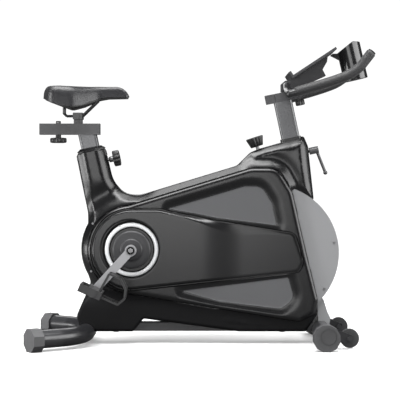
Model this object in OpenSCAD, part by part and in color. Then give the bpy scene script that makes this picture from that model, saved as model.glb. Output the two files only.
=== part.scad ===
// Upright indoor exercise bike. Millimetres, +Z up, +X forward, rider's right is -Y.
// Origin: centre of the footprint, on the floor.

/* [Crank drive] */
// Length of each crank arm
crank_len = 175; // [165:1:180]
// Radius of the large drive pulley
pulley_r = 112; // [104:1:114]
// Radius of the small pulley on the flywheel
small_r = 28; // [24:1:32]
/* [Flywheel] */
// Radius of the flywheel
fly_r = 195; // [185:1:198]
/* [Resistance] */
// How far the knob is pushed down to brake the flywheel
push = 5; // [3:1:6]
/* [Feet] */
// Radius of the stabiliser tubes
tube_r = 30; // [28:1:30]
/* [Hidden] */
$fn = 96;
LEAN = 12;
CX = -234; CZ = 318;
GX = 232;  GZ = 305; GR = 230;
FX = 246;  FZ = 299;
SX = -375.6; SZ = 653.4;
HX = 301.7;  HZ = 691.7;
KX = 189.5;  KZ = 660; KT = 17.9;
BX = 402;  BZ = 46; FE = 3;
RX = -388.5; RZ = 39; RE = 2; RB = 183; RH = 38; RA = 55;
CA = 227.85;
PX = CX + crank_len*cos(CA); PZ = CZ + crank_len*sin(CA);
LX = CX - crank_len*cos(CA); LZ = CZ - crank_len*sin(CA);
RSL = 11.5;
HRX = 243; HRZ = 825.6;

// ---------- helpers ----------
function unit(v) = v/norm(v);
function corner(a,b,c,r,n) = let(u=unit(a-b), v=unit(c-b), g=acos(u*v), o=b+unit(u+v)*(r/sin(g/2)),
  p=b+u*(r/tan(g/2)), q=b+v*(r/tan(g/2)), s=atan2(p.y-o.y,p.x-o.x), e=atan2(q.y-o.y,q.x-o.x), d=((e-s+540)%360)-180)
  [for(i=[0:n]) o+r*[cos(s+d*i/n),sin(s+d*i/n)]];
// polygon whose points carry their own corner radius
function rpoly(p,n=5) = [for(i=[0:len(p)-1]) let(k=len(p), a=p[(i+k-1)%k], b=p[i], c=p[(i+1)%k])
  each (b[2]==0 ? [[b[0],b[1]]] : corner([a[0],a[1]],[b[0],b[1]],[c[0],c[1]],b[2],n))];
// a profile drawn in X and Z, standing between two Y planes
module xz(y0,y1) { translate([0,y1,0]) rotate([90,0,0]) linear_extrude(y1-y0) children(); }
module yrod(x,z,r,y0,y1,fn=96) { translate([x,y1,z]) rotate([90,0,0]) cylinder(r=r,h=y1-y0,$fn=fn); }
module flip() { mirror([0,1,0]) children(); }
module rrect(w,d,r) { polygon(rpoly([[-w/2,-d/2,r],[w/2,-d/2,r],[w/2,d/2,r],[-w/2,d/2,r]],6)); }
// local frames: Z runs up along each post
module seat_axis() { translate([SX,0,SZ]) rotate([0,-LEAN,0]) children(); }
module head_axis() { translate([HX,0,HZ]) rotate([0,-LEAN,0]) children(); }
module knob_axis() { translate([KX,0,KZ]) rotate([0,-KT,0]) children(); }
module bar_axis() { translate([HRX,0,HRZ]) rotate([0,-RSL,0]) children(); }
module stick(a,b,r) { v=b-a; l=norm(v); translate(a) rotate([0,acos(v.z/l),atan2(v.y,v.x)]) cylinder(r=r,h=l,$fn=48); }
module chain(p,r) { for(i=[0:len(p)-2]) stick(p[i],p[i+1],r); if(len(p)>2) for(i=[1:len(p)-2]) translate(p[i]) sphere(r+.3,$fn=48); }

// ---------- outlines ----------
// the back swells concentrically round the crank
BODY = concat([[-420,615,0],[-385,440,20]], [for(a=[150:6:210]) [CX+173*cos(a),CZ+173*sin(a),0]],
 [[-375,205,25],[-395,155,30],[-420,95,20],[-405,42,8],[-230,42,8],[-195,85,10],[125,42,0],[350,42,6],
 [390,100,25],[390,150,40],[305,515,6],[335,500,10],[380,480,5],[360,665,8],[345,700,6],[205,660,40],[165,645,30],
 [120,600,35],[-210,500,100],[-260,505,60],[-300,550,90],[-320,635,0]]);
LOOP = [[-245,465,0],[165,590,60],[255,590,55],[305,510,80],[350,310,0],[390,150,20],[380,100,20],
 [330,75,25],[50,120,0],[-245,170,0]];
// the wing is one outline: an arc round the crank, then the long taper to the front
WING = concat([for(a=[90:6:270]) [CX+134*cos(a),CZ+134*sin(a),0]],
 [[325,245,18],[340,275,16],[310,370,20],[30,415,0],[-145,452,60]]);
PANEL_UP = [[-110,455,1],[145,530,30],[200,530,40],[235,475,45],[250,400,4],[50,425,0],[-20,440,0]];
PANEL_LO = [[-65,180,1],[290,225,8],[310,155,35],[265,120,30],[60,145,0]];
module body2d() { polygon(rpoly(BODY)); }
module loop2d() { union() { polygon(rpoly(LOOP)); translate([CX,CZ]) circle(147); } }
module wing2d() { polygon(rpoly(WING)); }
module belly2d() { intersection() { body2d(); union() { offset(r=8,$fn=32) loop2d(); translate([CX,CZ]) circle(166); } } }

// ---------- base ----------
module rear_path(r) {
  yrod(RX,RZ,r,-RH,RH);
  for(m=[0,1]) mirror([0,m,0]) {
    translate([RX-RB,-RH,RZ]) rotate([0,0,-RA]) rotate_extrude(angle=RA) translate([RB,0]) circle(r,$fn=64);
    rear_leg() cylinder(r=r,h=97);
  }
}
// local frame with +Z running out along the rear right leg
module rear_leg() { translate([RX-RB+RB*cos(RA),-RH-RB*sin(RA),RZ]) rotate([0,0,-RA]) rotate([90,0,0]) children(); }
module base_beam() color([.13,.13,.14]) difference() {
  translate([-372,-25,42]) cube([760,50,28]);
  translate([-380,-22,45]) cube([780,44,22]);
  yrod(RX,RZ,tube_r,-40,40); yrod(BX,BZ,tube_r,-40,40);
  for(x=[-290,273]) translate([x,0,30]) cylinder(r=5.2,h=30);
}
module rear_stabiliser() color([.16,.16,.17]) difference() { rear_path(tube_r); rear_hollow(); }
module rear_hollow() {
  yrod(RX,RZ,tube_r-3,-RH,RH);
  for(m=[0,1]) mirror([0,m,0]) {
    translate([RX-RB,-RH,RZ]) rotate([0,0,-RA]) rotate_extrude(angle=RA) translate([RB,0]) circle(tube_r-3,$fn=64);
    rear_leg() cylinder(r=tube_r-3,h=98);
  }
}
module front_stabiliser() color([.16,.16,.17]) difference() { yrod(BX,BZ,tube_r,-240,240); yrod(BX,BZ,tube_r-3,-241,241); }
module front_cap() { difference() {
  translate([BX,-212,BZ-FE]) rotate([90,0,0]) rotate([0,0,15]) cylinder(r=43/cos(15),h=38,$fn=12);
  yrod(BX,BZ,tube_r+.3,-242,-211);
  translate([BX+6,-249,BZ-FE+5]) rotate([90,0,0]) difference() { cylinder(r=26,h=2); translate([0,0,-1]) cylinder(r=24,h=4); }
} }
module rear_cap() { difference() {
  rear_leg() translate([0,-RE,67]) rotate([0,0,22.5]) cylinder(r=(RZ-RE)/cos(22.5),h=38,$fn=8);
  rear_leg() translate([0,0,66]) cylinder(r=tube_r+.3,h=32);
} }
module front_right_cap() color([.2,.2,.21]) front_cap();
module front_left_cap() color([.2,.2,.21]) flip() front_cap();
module rear_right_cap() color([.2,.2,.21]) rear_cap();
module rear_left_cap() color([.2,.2,.21]) flip() rear_cap();
module bracket2d() { polygon(rpoly([[405,60,0],[440,66,8],[494,46,10],[494,28,10],[470,24,8],[405,28,0]])); }
module wheel_brackets() color([.14,.14,.15]) for(m=[0,1]) mirror([0,m,0]) {
  difference() { union() { xz(-157,-153) bracket2d(); xz(-187,-183) bracket2d(); }
    yrod(BX,BZ,tube_r,-200,-140); yrod(482,36,5,-200,-140); }
  yrod(482,36,5,-190,-150); yrod(482,36,8,-150,-147); yrod(482,36,8,-193,-190);
}
module twheel() { difference() { union() { yrod(482,36,31,-180,-160); yrod(482,36,12,-182,-158); }
  yrod(482,36,5.06,-190,-150); } }
module right_transport_wheel() color([.1,.1,.1]) twheel();
module left_transport_wheel() color([.1,.1,.1]) flip() twheel();
module front_foot_cover() color([.3,.3,.31]) difference() {
  xz(-24,24) polygon(rpoly([[385,155,0],[410,152,8],[425,105,20],[435,85,16],[430,60,0],[395,60,0]]));
  yrod(BX,BZ,tube_r+.2,-40,40); yrod(GX,GZ,GR+.5,-40,40);
  body_keep(0);
  translate([-372,-25.5,41]) cube([760,51,30]);
}
module body_keep(g) { xz(-51,51) offset(delta=g) body2d(); }

// ---------- welded frame ----------
module main_frame() color([.22,.22,.23]) difference() {
  union() {
    intersection() { seat_axis() translate([0,0,-640]) linear_extrude(604) rrect(70,40,12);
      translate([-600,-60,70]) cube([500,120,700]); }
    head_axis() translate([0,0,-160]) linear_extrude(151) rrect(69,40,12);
    xz(-15,15) polygon([[-300,396],[-300,446],[326,631],[338,581]]);
    yrod(CX,CZ,26,-19,40);
    xz(-12,12) polygon([[-300,300],[-300,336],[-240,336],[-240,300]]);
    xz(-39,39) polygon([[264,538],[290,536],[284,548],[264,560]]);
    xz(-20,20) polygon([[266,540],[290,536],[334,536],[330,582],[266,562]]);
    for(s=[0,1]) mirror([0,s,0]) {
      xz(39,44) polygon(rpoly([[262,560,0],[284,548,0],[300,498,12],[276,310,20],[328,84,0],[286,84,0],[224,290,20]]));
      xz(24,44) polygon([[286,84],[328,84],[326,96],[284,96]]); xz(24,34) polygon([[285,70],[330,70],[328,90],[286,90]]);
    }
  }
  seat_axis() translate([0,0,-520]) linear_extrude(530) rrect(63,33,10);
  head_axis() translate([0,0,-170]) linear_extrude(180) rrect(63,33,10);
  yrod(CX,CZ,21,-20,41);
  for(s=[0,1]) mirror([0,s,0]) yrod(FX,FZ,6,38,45);
  knob_axis() translate([0,0,-150]) cylinder(r=9,h=170);
  seat_axis() translate([20,0,-46]) rotate([0,90,0]) cylinder(r=5.5,h=30);
  head_axis() translate([20,0,-56]) rotate([0,90,0]) cylinder(r=6,h=40);
}
module crank_bearings() color([.7,.7,.72]) for(y=[-19,28]) difference() { yrod(CX,CZ,21,y,y+12); yrod(CX,CZ,10.05,y-1,y+13); }

// ---------- shells ----------
module shell_cuts() {
  translate([-372,-25.2,41]) cube([760,50.4,29.2]);
  rear_path(tube_r+.2);
  yrod(BX,BZ,tube_r+.2,-60,60);
  yrod(GX,GZ,GR+.4,-36,36);
  seat_axis() translate([0,0,-40]) linear_extrude(60) rrect(64,34,10);
  head_axis() translate([0,0,-12]) linear_extrude(60) rrect(72,42,12);
  knob_axis() translate([0,0,-40]) rotate([0,0,90]) cylinder(r=10,h=80);
}
// the holes for the seat pin and for the head clamp screw
module half_shell() difference() {
  half_shell_blank();
  seat_axis() translate([40,0,-46]) rotate([0,90,0]) cylinder(r=6,h=20);
  head_axis() translate([40,0,-56]) rotate([0,90,0]) cylinder(r=6,h=25);
}
module half_shell_blank() difference() {
  union() { xz(-38,0) body2d(); xz(-50,0) belly2d(); }
  xz(-35,1) offset(delta=-3) body2d();
  xz(-47,1) offset(delta=-3) belly2d();
  xz(-51,-46) offset(delta=-8) loop2d();
  shell_cuts();
}
module right_body_shell() color([.09,.09,.1]) half_shell();
module left_body_shell() color([.09,.09,.1]) flip() half_shell();
module side_cover() difference() {
  union() { xz(-54,-50) loop2d(); xz(-60,-54) difference() { loop2d(); union() { offset(delta=3) wing2d(); polygon(rpoly(PANEL_UP)); polygon(rpoly(PANEL_LO)); } } }
  yrod(CX,CZ,24,-61,-49);
}
module right_side_cover() color([.2,.2,.21]) side_cover();
module left_side_cover() color([.2,.2,.21]) flip() side_cover();
module wing_cover() difference() {
  xz(-66,-54) wing2d();
  xz(-63,-53) offset(delta=-3) wing2d();
  yrod(CX-5,CZ+2,97,-67,-53);
}
module right_wing_cover() color([.08,.08,.09]) wing_cover();
module left_wing_cover() color([.08,.08,.09]) flip() wing_cover();
module crank_trim_rings() color([.9,.9,.91]) for(m=[0,1]) mirror([0,m,0]) difference() {
  union() { yrod(CX,CZ,100,-58,-54); yrod(CX,CZ,90,-64,-58); }
  yrod(CX,CZ,76,-65,-53);
}
module flywheel_guards() color([.35,.35,.36]) for(m=[0,1]) mirror([0,m,0]) difference() {
  yrod(GX,GZ,GR,-35,-.1,128);
  yrod(GX,GZ,GR-6,-32,1,128);
  xz(-60,2) polygon([[0,0],[358,0],[374,70],[362,140],[290,465],[240,620],[0,620]]);
  translate([-372,-25.5,41]) cube([790,51,30]);
}
// everything under the sloping top edge of the shell, in the seat post's frame
module shell_top() rotate([0,LEAN,0]) translate([-SX,0,-SZ]) xz(-60,60) polygon([[-440,611],[-300,639],[-300,560],[-440,560]]);
module seat_collar() color([.1,.1,.11]) seat_axis() difference() {
  union() { translate([0,0,-30]) linear_extrude(24) rrect(101,76,16); translate([0,0,-6]) linear_extrude(6) rrect(93,68,14); }
  translate([0,0,-31]) linear_extrude(40) rrect(63,33,10);
  shell_top();
}
module head_collar() color([.1,.1,.11]) head_axis() difference() {
  translate([0,0,-9]) linear_extrude(11) rrect(71,41,12);
  translate([0,0,-10]) linear_extrude(20) rrect(63,33,10);
}
module cover_screws() color([.6,.6,.62]) for(m=[0,1]) mirror([0,m,0]) {
  for(p=[[446,341],[413,185]]) yrod(p[0],p[1],3.5,-37,-35,32);
  for(p=[[-365,405],[-370,245]]) yrod(p[0],p[1],3.5,-52,-50,32);
}
module base_bolts() color([.6,.6,.62]) for(x=[-290,273]) translate([x,0,36]) { cylinder(r=9,h=6,$fn=6); translate([0,0,6]) cylinder(r=5,h=9); }

// ---------- drive ----------
module belt2d(g) { hull() { translate([CX,CZ]) circle(pulley_r+g,$fn=128); translate([FX,FZ]) circle(small_r+g,$fn=128); } }
module drive_belt() color([.05,.05,.05]) xz(-37,-23) difference() { belt2d(3.3); belt2d(.3); }
module flywheel_axle() color([.6,.6,.62]) { yrod(FX,FZ,6,-49.5,49.5);
  for(m=[0,1]) mirror([0,m,0]) difference() { translate([FX,-44,FZ]) rotate([90,0,0]) cylinder(r=10,h=5,$fn=6); yrod(FX,FZ,6,-60,-40); } }
module flywheel() color([.5,.5,.52]) difference() {
  union() { difference() { yrod(FX,FZ,fly_r,-12,12,128); yrod(FX,FZ,fly_r-30,-13,13,128); } yrod(FX,FZ,fly_r-29,-5,5,128); yrod(FX,FZ,24,-13.5,18); }
  yrod(FX,FZ,16,-14,19);
}
module flywheel_bearings() color([.7,.7,.72]) for(y=[-13,8]) difference() { yrod(FX,FZ,16,y,y+9); yrod(FX,FZ,6.05,y-1,y+10); }
module flywheel_pulley() color([.3,.3,.3]) difference() {
  union() { yrod(FX,FZ,small_r,-38,-13.5); yrod(FX,FZ,small_r+2.5,-22,-20); }
  yrod(FX,FZ,7,-39,-13);
}
module crank_spindle() color([.6,.6,.62]) { yrod(CX,CZ,10,-120,120); for(m=[0,1]) mirror([0,m,0]) yrod(CX,CZ,13,-124,-120); }
module drive_pulley() color([.2,.2,.2]) difference() {
  union() { difference() { yrod(CX,CZ,pulley_r,-38,-22,128); yrod(CX,CZ,pulley_r-12,-39,-21,128); } yrod(CX,CZ,pulley_r-11,-32,-28,128); yrod(CX,CZ,22,-38,-22); }
  yrod(CX,CZ,10,-40,-20);
  for(a=[0:60:300]) yrod(CX+62*cos(a),CZ+62*sin(a),19,-40,-20);
}
module arm(x,z) difference() {
  union() { yrod(CX,CZ,19,-120,-104); yrod(x,z,15,-120,-104);
    a=atan2(z-CZ,x-CX); translate([CX,-120,CZ]) rotate([0,-a,0]) translate([8,0,-14]) cube([crank_len-16,14,28]); }
  yrod(CX,CZ,10,-121,-103); yrod(x,z,7,-121,-103);
}
module right_crank_arm() color([.62,.62,.63]) arm(PX,PZ);
module left_crank_arm() color([.62,.62,.63]) flip() arm(LX,LZ);
module crank_covers() color([.12,.12,.13]) for(m=[0,1]) mirror([0,m,0]) difference() {
  union() { yrod(CX,CZ,70,-72,-66); yrod(CX,CZ,34,-80,-72); yrod(CX,CZ,16,-104,-80); }
  yrod(CX,CZ,10,-105,-60);
}
module pedal_spindles() color([.6,.6,.62]) { yrod(PX,PZ,7,-226,-104); flip() yrod(LX,LZ,7,-226,-104); }
module at_pedal(x,z) { translate([x,0,z]) rotate([0,23.8,0]) children(); }
module pedal(x,z) at_pedal(x,z) difference() {
  union() { translate([-47,-230,-13]) cube([77,92,26]); yrod(0,0,14,-232,-136); }
  for(q=[-40,17]) translate([q,-222,-20]) cube([q<0?22:7,76,40]);
  yrod(0,0,7.06,-228,-130);
}
RIB = [[30,-6,0],[92,-6,8],[106,22,10],[96,54,14],[66,80,10],[22,80,5],[16,13,0],[22,13,0],[27,74,2],[63,74,6],[90,50,8],[100,22,6],[88,0,4],[30,0,0]];
module cage(x,z) at_pedal(x,z) union() {
  for(y=[-221,-153]) xz(y,y+6) polygon(rpoly(RIB,4));
  translate([100,-216,18]) cube([5,66,8]);
  translate([30,-216,74.5]) cube([28,66,5]);
  translate([70,-216,-5.5]) cube([14,66,5]);
}
module right_pedal() color([.1,.1,.1]) pedal(PX,PZ);
module right_toe_cage() color([.12,.12,.12]) cage(PX,PZ);
module left_pedal() color([.1,.1,.1]) flip() pedal(LX,LZ);
module left_toe_cage() color([.12,.12,.12]) flip() cage(LX,LZ);

// ---------- seat ----------
module seat_post() color([.35,.35,.36]) difference() {
  intersection() { seat_axis() difference() { translate([0,0,-300]) linear_extrude(380) rrect(62,32,9.5); translate([0,0,-301]) linear_extrude(382) rrect(56,26,7); }
    translate([-600,-60,200]) cube([500,120,504]); }
  for(i=[0:8]) seat_axis() translate([20,0,-30-i*25]) rotate([0,90,0]) cylinder(r=5,h=20,$fn=48);
}
module seat_rail() color([.28,.28,.29]) difference() {
  translate([-548,-19,704]) cube([204,38,37.5]);
  translate([-545,-16,707]) cube([198,32,31.5]);
  translate([-536,-6.5,730]) cube([178,13,20]);
  translate([-536,-6.5,700]) cube([102,13,15]);
}
module seat_slider() color([.3,.3,.31]) difference() {
  union() { translate([-502,-15.6,707.4]) cube([112,31.2,30.6]); translate([-433,-6,738]) cube([30,12,26]); yrod(-418,764,10,-6,6); }
  translate([-485.5,0,700]) cylinder(r=5.1,h=60);
  yrod(-418,764,4.06,-8,8);
}
module seat_slide_knob() color([.08,.08,.08]) { translate([-485.5,0,676]) cylinder(r=28,h=18); translate([-485.5,0,694]) cylinder(r=9,h=9.5);
  translate([-485.5,0,703]) cylinder(r=5,h=44); translate([-485.5,0,742]) cylinder(r=8,h=9,$fn=6); }
PLAN = [[-530,-60,40],[-505,-100,40],[-430,-90,60],[-345,-30,60],[-245,-15,14],[-245,15,14],
 [-345,30,60],[-430,90,60],[-505,100,40],[-530,60,40]];
SEATTOP = [[-530,835,8],[-525,865,18],[-480,870,40],[-260,865,20],[-245,830,6],[-315,830,0],
 [-345,825,0],[-400,805,0],[-445,795,30],[-525,825,0]];
SEATBASE = [[-525,825,0],[-445,795,30],[-400,805,0],[-345,825,0],[-315,830,0],[-245,830,0],
 [-245,825,0],[-315,824,0],[-345,819,0],[-400,799,0],[-445,789,30],[-520,817,0]];
module plan(g) { translate([0,0,740]) linear_extrude(160) offset(delta=g) polygon(rpoly(PLAN)); }
module saddle() color([.18,.18,.19]) intersection() { xz(-110,110) polygon(rpoly(SEATTOP)); plan(0); }
module saddle_base() color([.06,.06,.06]) intersection() { xz(-110,110) polygon(rpoly(SEATBASE)); plan(-3); }
module saddle_rails() color([.5,.5,.52]) { for(y=[-22,22]) chain([[-465,y,799],[-465,y,775],[-457,y,767],[-403,y,767],[-350,y,818]],3.5);
  for(m=[0,1]) mirror([0,m,0]) difference() { union() { translate([-434,7,756]) cube([32,22,22]); } yrod(-418,764,4,0,40); for(y=[22]) stick([-460,y,767],[-400,y,767],3.5); }
  yrod(-418,764,4,-32,32); for(m=[0,1]) mirror([0,m,0]) yrod(-418,764,7,-34,-29); }
module seat_pin_knob() color([.08,.08,.08]) seat_axis() translate([31.6,0,-46]) rotate([0,90,0]) { cylinder(r=5,h=24); translate([0,0,22]) cylinder(r=10,h=16); translate([0,0,36]) cylinder(r=27.5,h=24); }

// ---------- handlebar ----------
module handlebar_post() color([.35,.35,.36]) difference() {
  head_axis() difference() { translate([0,0,-132]) linear_extrude(282) rrect(62,32,9.5); translate([0,0,-133]) linear_extrude(284) rrect(56,26,7); }
  bar_axis() translate([-60,-40,-15]) cube([200,80,120]);
}
module handlebar_rail() color([.3,.3,.31]) bar_axis() difference() {
  translate([6,-15,-15]) cube([94,30,30]);
  translate([5,-12.4,-12.4]) cube([96,24.8,24.8]);
  translate([5,-6.5,10]) cube([60,13,10]);
  translate([86,0,-20]) cylinder(r=5.3,h=12);
}
module handlebar_slider() color([.25,.25,.26]) bar_axis() union() {
  translate([4,-12,-12]) cube([114,24,24]);
  translate([-27,-15,-15]) cube([31,30,30]);
  translate([34,-6,12]) cube([18,12,14]);
}
function R(y) = let(s=sign(y)) [[285,s*205,830],[455,s*210,880],[500,s*210,905],[530,s*210,935],[550,s*210,965]];
module bar_half(r,s) { chain(concat([[286,s*34,869],[285,s*80,840],[285,s*190,830]],R(s)),r); }
module handlebar() color([.2,.2,.21]) difference() { union() { bar_half(12.5,-1); bar_half(12.5,1); yrod(286,869,12.5,-34,34); for(q=[-34,34]) translate([286,q,869]) sphere(12.8,$fn=48); }
  bar_axis() translate([30,-8,10]) cube([26,16,16]); }
module grip(s) difference() { chain(R(s),16); chain(concat([[285,s*179,831],[285,s*190,830]],R(s),[[562,s*210,982.5]]),12.7); }
module handlebar_grips() color([.07,.07,.07]) { grip(-1); grip(1); }
module tab_axis() { translate([305,0,890]) rotate([0,-33.5,0]) children(); }
module tablet_holder() color([.12,.12,.13]) difference() { union() {
    tab_axis() { translate([0,-110,0]) cube([172,220,8]); translate([-4,-110,0]) cube([8,220,24]); }
    xz(-15,15) polygon([[268,874],[268,849],[302,855.5],[345,869],[420,903],[409,924],[424,950],[427,972],[300,888],[282,886]]); }
  yrod(286,869,12.5,-40,40);
  bar_axis() translate([30,-7,-10]) cube([26,14,38]); }
module cup_axis() { translate([523,0,890]) rotate([0,-13,0]) children(); }
module bottle_holder() color([.05,.05,.05]) difference() {
  union() { cup_axis() cylinder(r=41,h=140); xz(-12,12) polygon([[436,972],[450,984],[480,968],[480,950]]); }
  cup_axis() translate([0,0,3]) cylinder(r=38,h=150);
  xz(-80,80) polygon([[400,978],[458,978],[508,1018],[640,1018],[640,1090],[400,1090]]);
  tab_axis() translate([-1,-111,-1]) cube([173.2,222,9.2]);
}
module handlebar_slide_knob() color([.08,.08,.08]) bar_axis() translate([86,0,0]) { translate([0,0,-40]) cylinder(r=16,h=20); translate([0,0,-21]) cylinder(r=5,h=6.5); }
module head_clamp_lever() color([.45,.45,.46]) head_axis() translate([0,0,-56]) { translate([31.6,0,0]) rotate([0,90,0]) cylinder(r=5,h=24);
  translate([53,0,0]) rotate([0,90,0]) cylinder(r=12,h=31);
  stick([77,0,0],[91,0,-82],5); translate([91,0,-82]) sphere(7,$fn=48); }

// ---------- resistance ----------
module resistance_rod() color([.6,.6,.62]) knob_axis() translate([0,0,-141]) cylinder(r=6,h=165);
module resistance_knob() color([.07,.07,.07]) knob_axis() difference() { translate([0,0,4]) cylinder(r1=21.5,r2=30.5,h=33); translate([0,0,3]) cylinder(r=6.06,h=22.4); }
// felt shoe, hollowed to the flywheel rim as it lies at the end of the push
module brake_pad() color([.4,.3,.2]) difference() {
  knob_axis() translate([-19,-10,-185]) cube([38,20,44]);
  yrod(FX-push*sin(KT),FZ+push*cos(KT),fly_r+.8,-11,11,128);
}

base_beam();
rear_stabiliser();
front_stabiliser();
main_frame();
right_body_shell();
left_body_shell();
right_side_cover();
left_side_cover();
right_wing_cover();
left_wing_cover();
crank_trim_rings();
flywheel_guards();
seat_collar();
head_collar();
front_foot_cover();
cover_screws();
base_bolts();
drive_belt();
crank_bearings();
flywheel_axle();
wheel_brackets();
flywheel();
flywheel_pulley();
flywheel_bearings();
crank_spindle();
drive_pulley();
right_crank_arm();
left_crank_arm();
crank_covers();
pedal_spindles();
right_pedal();
right_toe_cage();
left_pedal();
left_toe_cage();
seat_post();
seat_rail();
seat_slider();
seat_slide_knob();
saddle();
saddle_base();
saddle_rails();
seat_pin_knob();
handlebar_post();
handlebar_rail();
handlebar_slider();
handlebar();
handlebar_grips();
tablet_holder();
bottle_holder();
handlebar_slide_knob();
head_clamp_lever();
resistance_rod();
resistance_knob();
brake_pad();
right_transport_wheel();
left_transport_wheel();
front_right_cap();
front_left_cap();
rear_right_cap();
rear_left_cap();
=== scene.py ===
import bpy, bmesh, math
import numpy as np
from mathutils import Vector, Matrix, geometry


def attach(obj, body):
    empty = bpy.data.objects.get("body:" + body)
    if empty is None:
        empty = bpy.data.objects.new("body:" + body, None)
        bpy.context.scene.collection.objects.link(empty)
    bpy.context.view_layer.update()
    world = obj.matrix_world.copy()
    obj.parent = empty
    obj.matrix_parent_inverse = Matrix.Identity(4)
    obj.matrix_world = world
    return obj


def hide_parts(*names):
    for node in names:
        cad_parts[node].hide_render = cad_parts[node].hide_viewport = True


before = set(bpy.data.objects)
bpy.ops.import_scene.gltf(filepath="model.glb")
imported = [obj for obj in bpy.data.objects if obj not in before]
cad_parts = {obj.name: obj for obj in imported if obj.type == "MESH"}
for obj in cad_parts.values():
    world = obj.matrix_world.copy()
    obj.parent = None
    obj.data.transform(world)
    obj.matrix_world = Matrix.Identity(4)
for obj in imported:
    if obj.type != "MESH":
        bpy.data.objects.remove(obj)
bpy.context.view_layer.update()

MM = 0.001
sc = bpy.context.scene

# ------------------------------------------------------------------ camera
cam_data = bpy.data.cameras.new("cam")
cam_data.lens = 116.8
cam_data.sensor_width = 36
cam_data.shift_x = -0.0125
cam_data.shift_y = -0.065
cam = bpy.data.objects.new("cam", cam_data)
cam.location = (0.0115, -4.4, 0.571)
cam.rotation_euler = (math.radians(90), 0, 0)
sc.collection.objects.link(cam)
sc.camera = cam

# ------------------------------------------------------------------ materials
def mat(name, col, rough=.45, metal=0.0, spec=.5, bump=0.0, scale=900.0, vary=.08, coat=0.0,
        coat_rough=.2, sheen=0.0, aniso=0.0, kind="noise", edge=.0, rvary=.06):
    m = bpy.data.materials.new(name)
    m.use_nodes = True
    nt = m.node_tree
    b = nt.nodes["Principled BSDF"]
    b.inputs["Metallic"].default_value = metal
    b.inputs["Specular IOR Level"].default_value = spec
    b.inputs["Coat Weight"].default_value = coat
    b.inputs["Coat Roughness"].default_value = coat_rough
    b.inputs["Sheen Weight"].default_value = sheen
    b.inputs["Anisotropic"].default_value = aniso
    tc = nt.nodes.new("ShaderNodeTexCoord")
    # broad colour drift
    n1 = nt.nodes.new("ShaderNodeTexNoise"); n1.inputs["Scale"].default_value = 9; n1.inputs["Detail"].default_value = 4
    nt.links.new(tc.outputs["Object"], n1.inputs["Vector"])
    mr = nt.nodes.new("ShaderNodeMix"); mr.data_type = "RGBA"
    lo = [max(0, c * (1 - vary)) for c in col]; hi = [min(1, c * (1 + vary)) for c in col]
    mr.inputs["A"].default_value = (*lo, 1); mr.inputs["B"].default_value = (*hi, 1)
    nt.links.new(n1.outputs["Fac"], mr.inputs["Factor"])
    last = mr.outputs["Result"]
    # painted highlight: where pointiness marks a convex edge, the base colour is lifted to a lighter tone
    if edge:
        g = nt.nodes.new("ShaderNodeNewGeometry")
        r = nt.nodes.new("ShaderNodeMapRange")
        r.inputs["From Min"].default_value = .52; r.inputs["From Max"].default_value = .62
        r.inputs["To Max"].default_value = edge
        nt.links.new(g.outputs["Pointiness"], r.inputs["Value"])
        e = nt.nodes.new("ShaderNodeMix"); e.data_type = "RGBA"
        e.inputs["B"].default_value = (*[min(1, c * 2.2 + .03) for c in col], 1)
        nt.links.new(last, e.inputs["A"]); nt.links.new(r.outputs["Result"], e.inputs["Factor"])
        last = e.outputs["Result"]
    nt.links.new(last, b.inputs["Base Color"])
    # roughness drift
    n2 = nt.nodes.new("ShaderNodeTexNoise"); n2.inputs["Scale"].default_value = 40; n2.inputs["Detail"].default_value = 5
    nt.links.new(tc.outputs["Object"], n2.inputs["Vector"])
    rr = nt.nodes.new("ShaderNodeMapRange")
    rr.inputs["To Min"].default_value = max(.02, rough - rvary); rr.inputs["To Max"].default_value = min(1, rough + rvary)
    nt.links.new(n2.outputs["Fac"], rr.inputs["Value"]); nt.links.new(rr.outputs["Result"], b.inputs["Roughness"])
    if bump:
        if kind == "voronoi":
            t = nt.nodes.new("ShaderNodeTexVoronoi"); out = "Distance"
        elif kind == "brush":
            t = nt.nodes.new("ShaderNodeTexNoise"); out = "Fac"
            mp = nt.nodes.new("ShaderNodeMapping"); mp.inputs["Scale"].default_value = (1, 40, 1)
            nt.links.new(tc.outputs["Object"], mp.inputs["Vector"]); nt.links.new(mp.outputs["Vector"], t.inputs["Vector"])
        else:
            t = nt.nodes.new("ShaderNodeTexNoise"); t.inputs["Detail"].default_value = 3; out = "Fac"
        t.inputs["Scale"].default_value = scale
        if kind != "brush":
            nt.links.new(tc.outputs["Object"], t.inputs["Vector"])
        bp = nt.nodes.new("ShaderNodeBump"); bp.inputs["Strength"].default_value = bump; bp.inputs["Distance"].default_value = .0004
        nt.links.new(t.outputs[out], bp.inputs["Height"]); nt.links.new(bp.outputs["Normal"], b.inputs["Normal"])
    return m

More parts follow.
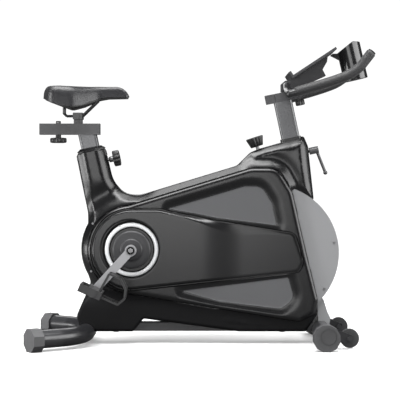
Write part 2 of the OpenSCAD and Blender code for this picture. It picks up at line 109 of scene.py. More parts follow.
M = dict(
    frame_paint=mat("frame_paint", (.020, .020, .022), .30, bump=.10, scale=700, coat=.25, edge=.2),
    shell=mat("shell_plastic", (.0055, .0055, .006), .26, bump=.06, scale=1500, rvary=.02),
    cover=mat("cover_plastic", (.0055, .0055, .006), .26, bump=.06, scale=1500, rvary=.02),
    panel=mat("panel_plastic", (.085, .086, .090), .5, bump=.18, scale=1700, vary=.04),
    wing=mat("wing_plastic", (.008, .008, .0085), .25, bump=.05, scale=1500, rvary=.015, vary=.05),
    boot=mat("boot_plastic", (.006, .006, .0065), .5, spec=.12, bump=.15, scale=1400),
    # painted shade: a blacker-than-plastic material that stands in for the shade in the recesses round the trim ring
    # and the hub
    black=mat("recess_painted_shade", (.003, .003, .003), .6, spec=.2, bump=.1, scale=1200),
    silver=mat("trim_silver", (.80, .81, .82), .30, spec=.6, coat=.4, bump=.04, scale=900, vary=.03),
    guard=mat("guard_plastic", (.24, .242, .248), .42, bump=.14, scale=1500, vary=.05),
    collar=mat("collar_plastic", (.0055, .0055, .006), .26, bump=.06, scale=1400, rvary=.02),
    disc=mat("disc_plastic", (.028, .028, .030), .42, bump=.2, scale=1400, edge=.2),
    steel=mat("fastener_steel", (.22, .22, .225), .36, metal=.9, bump=.15, scale=60, kind="brush"),
    bearing=mat("bearing_steel", (.6, .6, .62), .22, metal=1, bump=.05, scale=80, kind="brush"),
    belt=mat("belt_rubber", (.02, .02, .02), .7, bump=.3, scale=1200),
    iron=mat("flywheel_iron", (.3, .3, .31), .35, metal=1, bump=.3, scale=50, kind="brush"),
    pulley=mat("pulley_plastic", (.04, .04, .04), .5, bump=.2, scale=900),
    alu=mat("pulley_metal", (.5, .5, .52), .3, metal=1, bump=.2, scale=60, kind="brush"),
    crank=mat("crank_silver", (.22, .22, .227), .30, metal=.45, bump=.10, scale=800, coat=.2, edge=.25),
    pedal=mat("pedal_plastic", (.030, .030, .031), .5, bump=.35, scale=1100, edge=.2),
    cage=mat("cage_plastic", (.010, .010, .0105), .42, bump=.3, scale=1100, edge=.3),
    post=mat("post_metal", (.060, .061, .064), .28, metal=.3, bump=.08, scale=700, coat=.3, edge=.2),
    rail=mat("rail_paint", (.026, .026, .028), .36, bump=.16, scale=900, coat=.1, edge=.3),
    knob=mat("knob_plastic", (.010, .010, .0105), .40, bump=.22, scale=1200, edge=.3),
    vinyl=mat("saddle_vinyl", (.020, .020, .022), .30, bump=.55, scale=620, kind="voronoi", sheen=.05, vary=.12),
    sbase=mat("saddle_plastic", (.008, .008, .008), .5, bump=.2, scale=1200),
    wire=mat("rail_steel", (.015, .015, .016), .3, coat=.3, bump=.05, scale=800),
    bar=mat("bar_paint", (.020, .020, .021), .32, coat=.25, bump=.08, scale=800),
    foam=mat("grip_foam", (.020, .020, .021), .55, bump=.6, scale=1000, kind="voronoi", sheen=.15),
    holder=mat("holder_plastic", (.030, .030, .032), .42, bump=.18, scale=1300, edge=.2),
    cup=mat("cup_plastic", (.009, .009, .0095), .22, coat=.5, coat_rough=.12, bump=.04, scale=900),
    lever=mat("lever_grey", (.07, .07, .073), .4, metal=.2, bump=.12, scale=900, edge=.25),
    felt=mat("pad_felt", (.25, .2, .15), .95, bump=.8, scale=900, sheen=.4),
    wheel=mat("wheel_rubber", (.030, .030, .031), .5, bump=.25, scale=900, edge=.2),
    cap=mat("cap_plastic", (.050, .050, .052), .46, bump=.2, scale=1200, edge=.3),
)
NODE_MAT = dict(base_beam="rail", rear_stabiliser="frame_paint", front_stabiliser="frame_paint", main_frame="frame_paint",
    flywheel_guards="guard", crank_trim_rings="silver", seat_collar="collar", head_collar="collar", front_foot_cover="guard",
    cover_screws="steel", base_bolts="steel", drive_belt="belt", crank_bearings="bearing", flywheel_axle="steel",
    wheel_brackets="frame_paint", flywheel="iron", flywheel_pulley="alu", flywheel_bearings="bearing", crank_spindle="steel",
    drive_pulley="pulley", right_crank_arm="crank", left_crank_arm="crank", crank_covers="collar", pedal_spindles="steel",
    right_pedal="pedal", right_toe_cage="cage", left_pedal="pedal", left_toe_cage="cage", seat_post="post",
    seat_rail="rail", seat_slider="rail", seat_slide_knob="knob", saddle="vinyl", saddle_base="sbase", saddle_rails="wire",
    seat_pin_knob="knob", handlebar_post="post", handlebar_rail="rail", handlebar_slider="rail", handlebar="bar",
    handlebar_grips="foam", tablet_holder="holder", bottle_holder="cup", handlebar_slide_knob="knob", head_clamp_lever="lever",
    resistance_rod="steel", resistance_knob="knob", brake_pad="felt", right_transport_wheel="wheel",
    left_transport_wheel="wheel", front_right_cap="cap", front_left_cap="cap", rear_right_cap="cap", rear_left_cap="cap",
    right_body_shell="shell", left_body_shell="shell", right_side_cover="cover", left_side_cover="cover",
    right_wing_cover="wing", left_wing_cover="wing")

def dress(o, key, bev=0.0, seg=3):
    o.data.materials.clear(); o.data.materials.append(M[key])
    if bev:
        b = o.modifiers.new("bev", "BEVEL"); b.width = bev; b.segments = seg; b.limit_method = "ANGLE"
        b.angle_limit = math.radians(40); b.harden_normals = False; b.use_clamp_overlap = True
BEV = dict(base_beam=1.2, right_crank_arm=3, left_crank_arm=3, right_pedal=1.6, left_pedal=1.6, right_toe_cage=.9, left_toe_cage=.9,
    seat_rail=1.8, seat_slider=1, handlebar_rail=1.8, handlebar_slider=1.8, tablet_holder=1.6, head_clamp_lever=1.2, flywheel_guards=2.2,
    front_foot_cover=2.5, head_collar=1.2, right_transport_wheel=2.5, left_transport_wheel=2.5, front_right_cap=1.6, front_left_cap=1.6,
    rear_right_cap=1.6, rear_left_cap=1.6, bottle_holder=.8, base_bolts=.6, cover_screws=.6, wheel_brackets=.8, saddle_base=1.2)
for n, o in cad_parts.items():
    dress(o, NODE_MAT[n], BEV.get(n, 0) * MM)

# ------------------------------------------------------------------ outlines (mm, X and Z)
CX, CZ, FX, FZ = -234., 318., 246., 299.
def rpoly(pts, n=8):
    out = []; k = len(pts)
    for i in range(k):
        a, b, c = (np.array(pts[(i + j) % k][:2], float) for j in (-1, 0, 1)); r = pts[i][2]
        if r == 0: out.append(b); continue
        u = (a - b) / np.linalg.norm(a - b); v = (c - b) / np.linalg.norm(c - b)
        g = math.acos(max(-1, min(1, float(u @ v))))
        o = b + (u + v) / np.linalg.norm(u + v) * (r / math.sin(g / 2))
        p = b + u * (r / math.tan(g / 2)); q = b + v * (r / math.tan(g / 2))
        s = math.atan2(p[1] - o[1], p[0] - o[0]); e = math.atan2(q[1] - o[1], q[0] - o[0])
        d = (e - s + 3 * math.pi) % (2 * math.pi) - math.pi
        out += [o + r * np.array([math.cos(s + d * t / n), math.sin(s + d * t / n)]) for t in range(n + 1)]
    return np.array(out)
def resample(p, step):
    q = np.vstack([p, p[:1]]); L = np.r_[0, np.cumsum(np.linalg.norm(np.diff(q, axis=0), axis=1))]
    n = max(8, int(L[-1] / step)); t = np.linspace(0, L[-1], n, endpoint=False)
    return np.c_[np.interp(t, L, q[:, 0]), np.interp(t, L, q[:, 1])]
def smooth(p, it=2):
    for _ in range(it): p = (np.roll(p, 1, 0) + 2 * p + np.roll(p, -1, 0)) / 4
    return p
def seg_dist(P, poly):
    A = poly; B = np.roll(poly, -1, 0); out = np.full(len(P), 1e9)
    for i in range(0, len(A), 64):
        a, b = A[i:i + 64], B[i:i + 64]; ab = b - a
        t = np.clip(((P[:, None] - a) * ab).sum(2) / np.maximum((ab ** 2).sum(1), 1e-9), 0, 1)
        out = np.minimum(out, np.linalg.norm(P[:, None] - (a + t[..., None] * ab), axis=2).min(1))
    return out
def inside(P, poly):
    x, z = P[:, 0], P[:, 1]; c = np.zeros(len(P), bool)
    for (x1, z1), (x2, z2) in zip(poly, np.roll(poly, -1, 0)):
        if z1 == z2: continue
        c ^= ((z1 > z) != (z2 > z)) & (x < (x2 - x1) * (z - z1) / (z2 - z1) + x1)
    return c
def sdist(P, poly):
    d = seg_dist(P, poly); return np.where(inside(P, poly), d, -d)
def ss(t): t = np.clip(t, 0, 1); return t * t * (3 - 2 * t)
def arc(cx, cz, r, a0, a1, n=40):
    return [[cx + r * math.cos(math.radians(a0 + (a1 - a0) * i / n)), cz + r * math.sin(math.radians(a0 + (a1 - a0) * i / n)), 0] for i in range(n + 1)]
def circ(cx, cz, r, n=160):
    a = np.linspace(0, 2 * math.pi, n, endpoint=False); return np.c_[cx + r * np.cos(a), cz + r * np.sin(a)]

# the same outlines as the CAD part: X, Z and corner radius
BODY_P = ([[-420,615,0],[-385,440,20]] + [[CX + 173 * math.cos(math.radians(t)), CZ + 173 * math.sin(math.radians(t)), 0] for t in range(150, 211, 6)]
 + [[-375,205,25],[-395,155,30],[-420,95,20],[-405,42,8],[-230,42,8],[-195,85,10],[125,42,0],[350,42,6],
 [390,100,25],[390,150,40],[305,515,6],[335,500,10],[380,480,5],[360,665,8],[345,700,6],[205,660,40],[165,645,30],
 [120,600,35],[-210,500,100],[-260,505,60],[-300,550,90],[-320,635,0]])
BODY = rpoly(BODY_P)
# the same, with the seat tube run on upwards past its collar and the front run on under the guard: only for edge rounding
BODY_D = rpoly([[-432,675,0]] + BODY_P[1:-2] + [[-300,550,90],[-334,693,0]])
LOOP_OPEN = rpoly([[-245,465,0],[165,590,60],[255,590,55],[305,510,80],[350,310,0],[390,150,20],[380,100,20],
 [330,75,25],[50,120,0],[-245,170,0]])
WING = rpoly([[CX + 134 * math.cos(math.radians(t)), CZ + 134 * math.sin(math.radians(t)), 0] for t in range(90, 271, 6)]
 + [[325,245,18],[340,275,16],[310,370,20],[30,415,0],[-145,452,60]])
PUP = rpoly([[-110,455,1],[145,530,30],[200,530,40],[235,475,45],[250,400,4],[50,425,0],[-20,440,0]])
PLO = rpoly([[-65,180,1],[290,225,8],[310,155,35],[265,120,30],[60,145,0]])
def join_circle(poly, cx, cz, r):
    """outline of the polygon joined with the circle, as the CAD part joins them"""
    P = resample(poly, 2.0); out = np.hypot(P[:, 0] - cx, P[:, 1] - cz) > r
    k = int(np.argmax(out & ~np.roll(out, 1))); P = np.roll(P, -k, 0); out = np.roll(out, -k)
    keep = P[out]; a = math.atan2(keep[-1][1] - cz, keep[-1][0] - cx); b = math.atan2(keep[0][1] - cz, keep[0][0] - cx)
    # go round the far side of the circle, away from the polygon
    d = (b - a) % (2 * math.pi); mid = a + d / 2
    if inside(np.array([[cx + r * math.cos(mid), cz + r * math.sin(mid)]]), poly)[0]: d -= 2 * math.pi
    n = int(abs(d) * r / 3)
    return np.vstack([keep, [[cx + r * math.cos(a + d * i / n), cz + r * math.sin(a + d * i / n)] for i in range(1, n)]])
LOOP = join_circle(LOOP_OPEN, CX, CZ, 147)

def plate(name, outer, yfun, holes=(), feats=(), rows=(1.2, 3, 6, 10, 15, 21, 28), step=5.0, grid=11.0, frow=(1.2, 3, 6), side=-1, lift=0.0):
    """closed height-field plate: outline in X,Z; y from yfun; mirrored for the left side"""
    outer = resample(outer, step); holes = [resample(h, step) for h in holes]; feats = [resample(f, step) for f in feats]
    loops = [outer] + holes + feats
    pts = [p for p in loops]
    allp = [outer] + holes
    def offs(poly, d):
        t = np.roll(poly, -1, 0) - np.roll(poly, 1, 0); nrm = np.c_[-t[:, 1], t[:, 0]] / np.maximum(np.linalg.norm(t, axis=1), 1e-9)[:, None]
        q = poly + nrm * d; ok = seg_dist(q, poly) > abs(d) * .97
        return q[ok]
    extra = []
    for p in allp:
        for r in rows:
            extra += [offs(p, r), offs(p, -r)]
    for p in feats:
        for r in frow: extra += [offs(p, r), offs(p, -r)]
    lo, hi = outer.min(0), outer.max(0)
    gx, gz = np.meshgrid(np.arange(lo[0], hi[0], grid), np.arange(lo[1], hi[1], grid))
    gx[1::2] += grid / 2
    extra.append(np.c_[gx.ravel(), gz.ravel()])
    E = np.vstack(extra)
    keep = inside(E, outer)
    for h in holes: keep &= ~inside(E, h)
    E = E[keep]
    dmin = np.full(len(E), 1e9)
    for p in loops: dmin = np.minimum(dmin, seg_dist(E, p))
    E = E[dmin > .9]
    # thin out crowded points
    key = {}; out = []
    for i, (x, z) in enumerate(E):
        k = (round(x / 1.6), round(z / 1.6))
        if k not in key: key[k] = 1; out.append(i)
    E = E[out]
    V = np.vstack(loops + [E]); edges = []; o = 0
    for p in loops:
        k = len(p); edges += [(o + i, o + (i + 1) % k) for i in range(k)]; o += k
    res = geometry.delaunay_2d_cdt([Vector(v) for v in V], edges, [], 0, 1e-5)
    vs = np.array([[v.x, v.y] for v in res[0]]); F = [list(f) for f in res[2]]
    cen = np.array([vs[f].mean(0) for f in F]); ok = inside(cen, outer)
    for h in holes: ok &= ~inside(cen, h)
    F = [f for f, k in zip(F, ok) if k]
    used = sorted({i for f in F for i in f}); mp = {v: i for i, v in enumerate(used)}; vs = vs[used]; F = [[mp[i] for i in f] for f in F]
    y, back = yfun(vs)
    n = len(vs)
    top = np.c_[vs[:, 0], side * y, vs[:, 1]]; bot = np.c_[vs[:, 0], side * back, vs[:, 1]]
    cnt = {}
    for f in F:
        for a, b in zip(f, f[1:] + f[:1]): cnt[(a, b)] = 1
    rim = [(a, b) for (a, b) in cnt if (b, a) not in cnt]
    faces = [f for f in F] + [[i + n for i in reversed(f)] for f in F] + [[b, a, a + n, b + n] for a, b in rim]
    me = bpy.data.meshes.new(name); me.from_pydata([tuple(v) for v in np.vstack([top, bot]) * MM], [], faces); me.validate()
    bm = bmesh.new(); bm.from_mesh(me); bmesh.ops.recalc_face_normals(bm, faces=bm.faces)
    for e in bm.edges:
        if len(e.link_faces) == 2 and e.calc_face_angle(0) > math.radians(38): e.smooth = False
    for f in bm.faces: f.smooth = True
    bm.to_mesh(me); bm.free()
    ob = bpy.data.objects.new(name, me); sc.collection.objects.link(ob)
    return ob

L12 = math.radians(12)
# outer surface heights (distance from the middle plane, mm)
def body_y(P):
    d = np.maximum(sdist(P, BODY_D), 0); dl = sdist(P, LOOP)
    x, z = P[:, 0], P[:, 1]
    low = 1 - ss((z - 120) / 70)
    W = 38 + 12 * ss((dl + 36) / 36)
    seat = 1 - ss((x + 300) / 70)
    # the seat tube draws in at a waist before it swells into the drive case
    W = W + seat * (2.5 * ss((z - 500) / 60) - 7.5 * np.exp(-((dl + 62) / 24.) ** 2))
    head = ss((x - 90) / 70) * ss((z - 500) / 40)
    W = W + head * (3.0 * ss((x - 300) / 40.) - 5.0 * np.exp(-((dl + 34) / 20.) ** 2))
    W = W * (1 - low) + 47 * low
    rd = np.clip(seat * ss((z - 470) / 60) + .75 * ss((x - 250) / 60) * ss((z - 505) / 40), 0, 1)
    C = (22 + 8 * rd) * (1 - low) + 5 * low; T = (24 + 18 * rd) * (1 - low) + 7 * low
    t = np.clip(d / T, 0, 1)
    y = W - C * (1 - t) ** (1.25 + .95 * rd) - (7 - 4 * rd) * (1 - low * .6) * (1 - np.clip(d / 5.0, 0, 1)) ** 2
    # shallow swage line along the lower front
    sw = np.exp(-((z - (78 - (x - 90) * .10)) / 2.2) ** 2) * ss((x - 60) / 30) * (1 - ss((x - 190) / 40))
    y = y + 1.6 * sw
    m = ss((x + 215) / 70) * (1 - ss((x - 130) / 60)) * ss((z - 470) / 30)
    r = np.clip(d / np.maximum(d + np.maximum(-dl, 0), 1e-6), 0, 1)
    flat = 29 + 21 * r - 3.0 * (1 - np.clip(d / 2.5, 0, 1)) ** 2
    y = y * (1 - m) + flat * m
    y = np.where(dl > 0, 49.0, y)
    y = np.where((dl <= 0) & (dl > -3.0), np.minimum(y, 50.5 + dl * .2), y)
    y = np.where((dl <= 0) & (dl > -1.7), 46.5, y)
    # the rim runs in to the split between the halves, and stays clear of the posts, the rod and the pull pin
    hx = (x - 301.7) * math.cos(L12) + (z - 691.7) * math.sin(L12)
    into = np.where((np.abs(hx) < 34) & (z > 630), 17.6, .3)
    into = np.where((np.abs(x - 189.5) < 12) & (z > 630), 7.0, into)
    into = np.where((np.abs(z - 619) < 16) & (x > -332) & (x < -295), 12.0, into)
    rim = (d < 2.6) & ((x < 100) | (z > 512)) & (z > 60)
    back = np.maximum(y - 3.0, 0.3)
    return y, np.where(rim, np.minimum(back, into), back)
def cover_y(P):
    d = np.maximum(sdist(P, LOOP), 0)
    dp = np.maximum(sdist(P, PUP), sdist(P, PLO)); dw = sdist(P, WING)
    t = np.clip(d / 15.0, 0, 1)
    rim = 50.5 + 10.5 * np.sqrt(np.maximum(1 - (1 - t) ** 2, 0))
    y = rim - (rim - 54.6) * ss((30 - np.maximum(-dp, 0)) / 30) * ss(d / 24.)
    y = np.where(dp > 0, 54.6 - 1.0 * ss(dp / 1.6), y)
    y = np.where(dw > -3.2, np.minimum(y, 53.0), y)
    return y, np.full(len(P), 50.0)
def wing_y(P):
    d = np.maximum(sdist(P, WING), 0); x, z = P[:, 0], P[:, 1]
    face = 66 - 9.5 * ss((x + 10) / 150.0)
    top = ss((z - 335) / 45.) * np.exp(-((x - 115) / 105.) ** 2)
    ch = 6 + 26 * top
    y = face - (face - 55.4) * (1 - np.clip(d / ch, 0, 1)) ** 1.5
    h = np.hypot(x - (CX - 5), z - (CZ + 2))
    y = y - 2.0 * (1 - ss((h - 97) / 3.5)) ** 2
    return y, np.full(len(P), 54.2)

def pair(name, cad_r, cad_l, outer, yf, key, body="frame", **k):
    for side, nm, cad in ((-1, "right_" + name, cad_r), (1, "left_" + name, cad_l)):
        o = plate(nm, outer, yf, side=side, **k); dress(o, key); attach(o, body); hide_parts(cad)
        if key == "cover":
            o.data.materials.append(M["panel"])
            for p in o.data.polygons:
                c = np.array([[p.center.x, p.center.z]]) / MM
                if abs(p.center.y) > .051 and (sdist(c, PUP)[0] > -.2 or sdist(c, PLO)[0] > -.2): p.material_index = 1
        if key == "shell":
            o.data.materials.append(M["boot"])
            for p in o.data.polygons:
                if p.center.z < .118 + .00018 * max(0, -p.center.x * 1000 + 40): p.material_index = 1
pair("shell_form", "right_body_shell", "left_body_shell", BODY, body_y, "shell", feats=[LOOP], rows=(1, 2.5, 5, 8.5, 13, 18, 24, 31))
pair("cover_form", "right_side_cover", "left_side_cover", LOOP, cover_y, "cover", holes=[circ(CX, CZ, 24)], feats=[PUP, PLO, WING], rows=(.8, 2, 4, 7, 11, 16, 22, 29))
pair("wing_form", "right_wing_cover", "left_wing_cover", WING, wing_y, "wing", holes=[circ(CX - 5, CZ + 2, 97)], rows=(.8, 2, 4, 7, 11, 16, 21, 27))


# ------------------------------------------------------------------ tools for round and swept pieces
def mesh(name, V, F, key, body, replaces=(), sharp=38):
    me = bpy.data.meshes.new(name); me.from_pydata([tuple(np.array(v) * MM) for v in V], [], F); me.validate()
    bm = bmesh.new(); bm.from_mesh(me); bmesh.ops.remove_doubles(bm, verts=bm.verts, dist=1e-6); bmesh.ops.recalc_face_normals(bm, faces=bm.faces)
    for e in bm.edges:
        if len(e.link_faces) == 2 and e.calc_face_angle(0) > math.radians(sharp): e.smooth = False
    for f in bm.faces: f.smooth = True
    bm.to_mesh(me); bm.free()
    o = bpy.data.objects.new(name, me); sc.collection.objects.link(o)
    dress(o, key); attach(o, body)
    if replaces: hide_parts(*replaces)
    return o
def frame_of(org, ax):
    ax = Vector(ax).normalized(); h = Vector((0, 1, 0)) if abs(ax.y) < .9 else Vector((1, 0, 0))
    u = h.cross(ax).normalized(); v = ax.cross(u); return Vector(org), u, v, ax
def lathe(name, prof, org, ax, key, body, replaces=(), n=96, wave=None):
    """closed ring of (radius, height) points turned about an axis; wave(angle, r, h) may move the radius"""
    o, u, v, w = frame_of(org, ax); V = []; F = []; k = len(prof)
    for i in range(n):
        t = 2 * math.pi * i / n
        for r, h in prof:
            q = wave(t, r, h) if wave else r
            V.append(o + u * (q * math.cos(t)) + v * (q * math.sin(t)) + w * h)
    for i in range(n):
        j = (i + 1) % n
        for a in range(k):
            b = (a + 1) % k
            F.append([i * k + a, i * k + b, j * k + b, j * k + a])
    return mesh(name, V, F, key, body, replaces)
def chaikin(P, it=3):
    P = [Vector(p) for p in P]
    for _ in range(it):
        Q = [P[0]]
        for a, b in zip(P, P[1:]): Q += [a * .75 + b * .25, a * .25 + b * .75]
        P = [Q[0]] + Q[2:-2] + [P[-1]] if len(Q) > 5 else Q
    return P
def tube(name, path, rad, key, body, replaces=(), n=28, wave=None):
    P = [Vector(p) for p in path]; m = len(P); T = [(P[min(i + 1, m - 1)] - P[max(i - 1, 0)]).normalized() for i in range(m)]
    u = T[0].orthogonal().normalized(); V = []; F = []; L = 0
    for i in range(m):
        if i: L += (P[i] - P[i - 1]).length
        u = (u - T[i] * u.dot(T[i])).normalized(); v = T[i].cross(u)
        r = rad(i / (m - 1), L) if callable(rad) else rad
        for j in range(n):
            t = 2 * math.pi * j / n; V.append(P[i] + (u * math.cos(t) + v * math.sin(t)) * r)
    for i in range(m - 1):
        for j in range(n):
            k = (j + 1) % n; F.append([i * n + j, i * n + k, (i + 1) * n + k, (i + 1) * n + j])
    F.append([j for j in range(n)][::-1]); F.append([(m - 1) * n + j for j in range(n)])
    return mesh(name, V, F, key, body, replaces, sharp=50)
def dense(P, step):
    out = [Vector(P[0])]
    for a, b in zip(P, P[1:]):
        a, b = Vector(a), Vector(b); k = max(1, int((b - a).length / step)); out += [a.lerp(b, i / k) for i in range(1, k + 1)]
    return out

# ------------------------------------------------------------------ crank rings, covers
for s_, nm in ((-1, "right"), (1, "left")):
    ax = (0, s_, 0); c = (CX, 0, CZ)
    lathe(nm + "_trim_ring", [(76.4,54.2),(76.4,57.2),(77.6,58.6),(80,59.2),(86,59.2),(88.8,58.4),(90,56.8),(90,54.2)], c, ax, "silver", "frame", ("crank_trim_rings",), 128)
    # painted shade: a thin disc closes the gap between the trim ring and the wing, and its extra-black colour is the
    # painted shade of the recess
    lathe(nm + "_ring_recess_painted_shade", [(72,54.05),(72,54.6),(98.5,54.6),(98.5,54.05)], c, ax, "black", "frame", ("crank_trim_rings",), 128)
    lathe(nm + "_crank_disc", [(10.2,66),(10.2,103.6),(15,103.6),(16,102.6),(16,82),(19,80.4),(30,80),(33,78.8),(34.5,75.5),(37,73.8),(44,73.2),(56,72.6),(60.5,71.4),(63.5,68.6),(64.2,66)],
        c, ax, "disc", "crank_set", ("crank_covers",), 112)
    lathe(nm + "_hub_recess", [(13.1,120.1),(13.1,124.4),(13.9,125.2),(15.0,124.9),(15.6,123.8),(15.6,120.1)], c, ax, "crank", "crank_set", ("crank_covers",), 64)
    # painted shade: a black disc inside the hub recess, under the bolt
    lathe(nm + "_hub_shadow", [(.5,124.05),(12.9,124.05),(12.9,124.25),(.5,124.25)], c, ax, "black", "crank_set", ("crank_covers",), 64)
    lathe(nm + "_hub_bolt", [(.5,124.2),(8.2,124.2),(8.2,126.6),(7.2,127.4),(.5,127.4)], c, ax, "steel", "crank_set", ("crank_covers",), 6)
# ------------------------------------------------------------------ knobs
def flute(n, depth):
    return lambda t, r, h: r - depth * (0.5 - 0.5 * math.cos(n * t)) ** 1.6 * (1 if r > 17 else 0)
upv = (-math.sin(L12), 0, math.cos(L12)); outv = (math.cos(L12), 0, math.sin(L12))
def seat_pt(x, z): return (-375.6 + x * outv[0] + z * upv[0], 0, 653.4 + x * outv[2] + z * upv[2])
lathe("seat_pin_head", [(.5,36.2),(20,36.2),(25.5,37.2),(27.3,39.5),(27.3,56.5),(25.5,59),(21,60),(15,59.2),(8,58.6),(.5,58.6)], seat_pt(31.6, -46), outv, "knob", "seat_pin", ("seat_pin_knob",), 120, flute(11, 3.4))
lathe("seat_pin_shaft", [(.5,0),(5,0),(5,21.5),(8.8,23),(10,25),(10,36.5),(.5,36.5)], seat_pt(31.6, -46), outv, "steel", "seat_pin", ("seat_pin_knob",), 48)
KT = math.radians(17.9); kax = (-math.sin(KT), 0, math.cos(KT)); kp = (189.5, 0, 660)
lathe("resistance_grip", [(.5,4),(19.5,4),(21.4,5.4),(25.4,19),(29.6,33.5),(29.6,35.4),(27.5,37),(20,36.4),(12,35.6),(.5,35.4)], kp, kax, "knob", "resistance_dial", ("resistance_knob",), 144, flute(14, 2.8))
lathe("seat_slide_head", [(.5,676),(20,676),(26,677),(28,679.5),(28,690),(26,693),(18,694),(9.5,694.5),(9,703.4),(5,703.6),(5,740),(.5,740)], (-485.5, 0, 0), (0, 0, 1), "knob", "seat_carriage_knob", ("seat_slide_knob",), 112, flute(8, 4.2))
lathe("seat_slide_bolt", [(.5,741.6),(8,741.6),(8.4,743),(8.4,748.6),(7.4,750.6),(.5,751)], (-485.5, 0, 0), (0, 0, 1), "steel", "seat_carriage_knob", ("seat_slide_knob",), 6)
RS = math.radians(11.5); bax = (math.cos(RS), 0, math.sin(RS)); bup = (-math.sin(RS), 0, math.cos(RS))
bk = (243 + 86 * bax[0], 0, 825.6 + 86 * bax[2])
lathe("bar_slide_head", [(.5,-40),(11,-40),(15,-39),(16,-36.5),(16,-24),(14,-21),(5,-20.4),(5,-14.5),(.5,-14.5)], bk, bup, "knob", "bar_carriage_knob", ("handlebar_slide_knob",), 96,
    lambda t, r, h: r - 2.2 * (0.5 - 0.5 * math.cos(7 * t)) ** 1.5 * (1 if r > 10.5 else 0))

# ------------------------------------------------------------------ handlebar and foam grips
for s_, nm in ((-1, "right"), (1, "left")):
    ends = [(285, s_ * 205, 830), (455, s_ * 210, 880), (500, s_ * 210, 905), (530, s_ * 210, 935), (550, s_ * 210, 965)]
    full = chaikin([(286, 0, 869), (286, s_ * 30, 869)] + [(285, s_ * 80, 840), (285, s_ * 190, 830)] + ends[:1] + ends[1:], 4)
    full = dense(full, 4)
    tube(nm + "_bar_tube", full, 12.3, "bar", "bar_carriage", ("handlebar",), 32)
    # the foam covers the same path from just round the corner to the tip
    st = min(range(len(full)), key=lambda i: abs(full[i].x - 305) + (0 if abs(full[i].y) > 190 else 999))
    gp = full[st:]
    tot = sum((b - a).length for a, b in zip(gp, gp[1:]))
    def rr(t, L, tot=tot):
        e = min(L, tot - L)
        return 12.6 + 3.4 * math.sqrt(max(0, 1 - (1 - min(1, e / 4.5)) ** 2))
    tube(nm + "_foam_grip", gp, rr, "foam", "bar_carriage", ("handlebar_grips",), 40)
    tip = gp[-1]; dirv = (gp[-1] - gp[-4]).normalized()
    lathe(nm + "_bar_plug", [(.5,-8),(11,-8),(11,.4),(13.2,.6),(13.8,1.6),(12.5,3.2),(8,4.4),(.5,4.8)], tip, dirv, "bar", "bar_carriage", ("handlebar_grips",), 40)

# ------------------------------------------------------------------ saddle: one crowned closed form with sewn seams
PLAN = rpoly([[-530,-60,40],[-505,-100,40],[-430,-90,60],[-345,-30,60],[-245,-15,14],[-245,15,14],
 [-345,30,60],[-430,90,60],[-505,100,40],[-530,60,40]])
def saddle_z(P):
    x, y = P[:, 0], P[:, 1]; d = np.maximum(sdist(P, PLAN), 0)
    zt = np.interp(x, [-530, -512, -480, -430, -380, -330, -284, -268, -256, -249, -245], [862, 868, 869.4, 867.5, 866, 866, 866, 861, 852, 843, 836])
    zb = np.interp(x, [-530, -522, -470, -440, -400, -345, -315, -245], [823, 820, 800, 797, 803, 825, 830, 830])
    R = np.interp(x, [-530, -500, -430, -345, -245], [22, 22, 26, 18, 9])
    t = np.clip(d / R, 0, 1)
    crown = zb + 4 + (zt - zb - 4) * np.maximum(1 - (1 - t) ** 3.0, 0) ** .42
    w = np.interp(x, [-530, -505, -430, -345, -245], [70, 96, 88, 32, 14])
    z = crown - 5.0 * np.clip(np.abs(y) / w, 0, 1) ** 2 * (x < -340) * ss((-340 - x) / 60)
    # relief channel, side seam and the cross seam ahead of the wide pads
    z = z - 5.5 * np.exp(-(y / 8.5) ** 2) * ss((x + 515) / 30) * (1 - ss((x + 330) / 50))
    z = z - 1.5 * np.exp(-((d - 17.5) / 1.1) ** 2)
    z = z - 1.1 * np.exp(-((d - 9.0) / .9) ** 2) * (x < -300)
    z = z - 1.3 * np.exp(-((x + 352 - y * y * .012) / 1.3) ** 2) * (d > 17)
    return z, zb + .2
def topo(name, outer, fun, key, body, replaces, rows):
    global _side
    o = plate(name, outer, fun, side=1, rows=rows, step=4.0, grid=5.0)
    # the plate lies in X and Z: lay it down so that its height is Z
    me = o.data
    for v in me.vertices:
        x, y, z = v.co; v.co = (x, z, y)
    bm = bmesh.new(); bm.from_mesh(me); bmesh.ops.recalc_face_normals(bm, faces=bm.faces); bm.to_mesh(me); bm.free()
    dress(o, key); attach(o, body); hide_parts(*replaces); return o
sad = topo("saddle_cushion", PLAN, saddle_z, "vinyl", "saddle_group", ("saddle",), (.5, 1.3, 2.6, 4.4, 6.6, 8, 9, 10, 12, 14.5, 16.4, 17.5, 18.6, 21, 25, 30))

# ------------------------------------------------------------------ seat collar: runs on from the shell, with a chamfered mouth
def seat_local(P):
    x, z = P[:, 0] + 375.6, P[:, 1] - 653.4
    return x * outv[0] + z * outv[2], x * upv[0] + z * upv[2]
c0 = [seat_pt(-50.5, 0), seat_pt(-42, -1), seat_pt(42, -1), seat_pt(50.5, -12)]
COL = np.array([[-420.0, 615.0], [-320.0, 635.0]] + [[p[0], p[2]] for p in (seat_pt(50.0, -14), seat_pt(45.5, -1), seat_pt(-40, -1), seat_pt(-50.3, -12))])
def collar_y(P):
    lx, lz = seat_local(P); d = np.maximum(sdist(P, BODY_D), 0)
    t = np.clip(d / 42, 0, 1)
    y = 40.5 - 30 * (1 - t) ** 2.2 - 3 * (1 - np.clip(d / 5., 0, 1)) ** 2
    y = y - 7.5 * (1 - np.clip((-1 - lz) / 7., 0, 1)) ** 1.1
    return y, np.maximum(y - 3., 17.2)
for s_, nm in ((-1, "right"), (1, "left")):
    o = plate(nm + "_collar_form", COL, collar_y, side=s_, rows=(.8, 2, 4, 7, 11, 16, 22), step=3, grid=7)
    dress(o, "collar"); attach(o, "frame"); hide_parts("seat_collar")
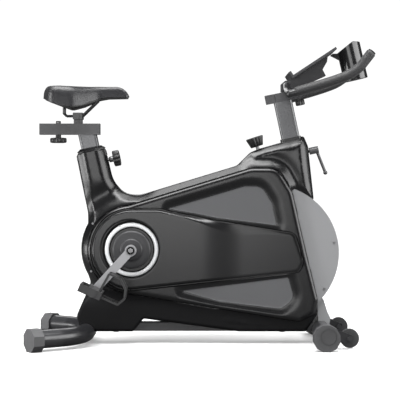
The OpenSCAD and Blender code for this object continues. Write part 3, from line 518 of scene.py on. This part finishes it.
o = plate("collar_mouth", np.array([[p[0], p[2]] for p in (seat_pt(-40, -7), seat_pt(45, -7), seat_pt(45, -1.2), seat_pt(-40, -1.2))]),
    lambda P: (np.full(len(P), 32.), np.full(len(P), 16.6)), side=-1, rows=(1,), step=4, grid=8)
dress(o, "collar"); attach(o, "frame"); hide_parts("seat_collar")
o = plate("collar_mouth_left", np.array([[p[0], p[2]] for p in (seat_pt(-40, -7), seat_pt(45, -7), seat_pt(45, -1.2), seat_pt(-40, -1.2))]),
    lambda P: (np.full(len(P), 32.), np.full(len(P), 16.6)), side=1, rows=(1,), step=4, grid=8)
dress(o, "collar"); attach(o, "frame"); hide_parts("seat_collar")

def frustum(name, lo, hi, z0, z1, key, body, replaces):
    V = []
    for (x0, x1, y), z in ((lo, z0), (hi, z1)):
        for a, b in ((x0, -y), (x1, -y), (x1, y), (x0, y)):
            q = seat_pt(a, z); V.append((q[0], b, q[2]))
    V += [(seat_pt(a, z1)[0], b, seat_pt(a, z1)[2]) for a, b in ((-31.6, -16.6), (31.6, -16.6), (31.6, 16.6), (-31.6, 16.6))]
    V += [(seat_pt(a, z0)[0], b, seat_pt(a, z0)[2]) for a, b in ((-31.6, -16.6), (31.6, -16.6), (31.6, 16.6), (-31.6, 16.6))]
    F = []
    for i in range(4):
        j = (i + 1) % 4
        F += [(i, j, 4 + j, 4 + i), (4 + i, 4 + j, 8 + j, 8 + i), (8 + i, 8 + j, 12 + j, 12 + i), (12 + i, 12 + j, j, i)]
    o = mesh(name, V, F, key, body, replaces); b = o.modifiers.new("bev", "BEVEL"); b.width = .002; b.segments = 3; return o
frustum("collar_chamfer", (-46, 49.5, 33.2), (-34.0, 38.0, 20.5), -2.5, 7.5, "collar", "frame", ("seat_collar",))

# ------------------------------------------------------------------ studio
def area(name, loc, target, sx, sy, power, col=(1, 1, 1)):
    l = bpy.data.lights.new(name, "AREA"); l.shape = "RECTANGLE"; l.size = sx; l.size_y = sy; l.energy = power; l.color = col
    o = bpy.data.objects.new(name, l); o.location = loc
    o.rotation_euler = (Vector(target) - Vector(loc)).to_track_quat("-Z", "Y").to_euler(); sc.collection.objects.link(o); return o
area("top", (.1, -.9, 2.9), (0, 0, .5), 3.2, .9, 70)
area("front_box", (-.62, -4.75, .72), (-.62, 0, .66), 2.5, 1.3, 38)
area("side_left", (-2.7, -1.5, 1.0), (-.2, 0, .5), .7, 1.8, 44)
area("side_right", (2.6, -1.0, 1.0), (.1, 0, .5), 2.4, 1.8, 76)
area("low_left", (-2.5, -.3, .19), (-.3, 0, .25), 2.4, .34, 19)
area("back", (0, 3.0, 2.2), (0, 0, .5), 3.4, 1.0, 30)
sun = bpy.data.lights.new("sky", "SUN"); sun.energy = 4.0; sun.angle = math.radians(60)
so = bpy.data.objects.new("sky", sun); so.rotation_euler = (math.radians(12), math.radians(-6), 0); sc.collection.objects.link(so)
me = bpy.data.meshes.new("floor"); s = 30
me.from_pydata([(-s, -s, 0), (s, -s, 0), (s, s, 0), (-s, s, 0)], [], [(0, 1, 2, 3)])
fl = bpy.data.objects.new("floor", me); sc.collection.objects.link(fl)
fm = bpy.data.materials.new("floor_pale"); fm.use_nodes = True
ft = fm.node_tree; fb = ft.nodes["Principled BSDF"]
fb.inputs["Emission Color"].default_value = (1, 1, 1, 1); fb.inputs["Roughness"].default_value = .6
fb.inputs["Specular IOR Level"].default_value = .2
fp = ft.nodes.new("ShaderNodeLightPath")
# the floor is pale to the camera and gives only a little light back to the object
for inp, lo_, hi_ in (("Emission Strength", .02, .22),):
    fr = ft.nodes.new("ShaderNodeMapRange"); fr.inputs["To Min"].default_value = lo_; fr.inputs["To Max"].default_value = hi_
    ft.links.new(fp.outputs["Is Camera Ray"], fr.inputs["Value"]); ft.links.new(fr.outputs["Result"], fb.inputs[inp])
fx = ft.nodes.new("ShaderNodeMix"); fx.data_type = "RGBA"
fx.inputs["A"].default_value = (.07, .07, .07, 1); fx.inputs["B"].default_value = (.80, .80, .80, 1)
ft.links.new(fp.outputs["Is Camera Ray"], fx.inputs["Factor"]); ft.links.new(fx.outputs["Result"], fb.inputs["Base Color"])
me.materials.append(fm)
w = bpy.data.worlds.new("w"); sc.world = w; w.use_nodes = True
wn = w.node_tree; bg = wn.nodes["Background"]; bg.inputs[0].default_value = (1, 1, 1, 1)
lp = wn.nodes.new("ShaderNodeLightPath"); wm = wn.nodes.new("ShaderNodeMapRange")
wm.inputs["To Min"].default_value = .035; wm.inputs["To Max"].default_value = 1.05
wn.links.new(lp.outputs["Is Camera Ray"], wm.inputs["Value"]); wn.links.new(wm.outputs["Result"], bg.inputs[1])
sc.view_settings.view_transform = "Standard"
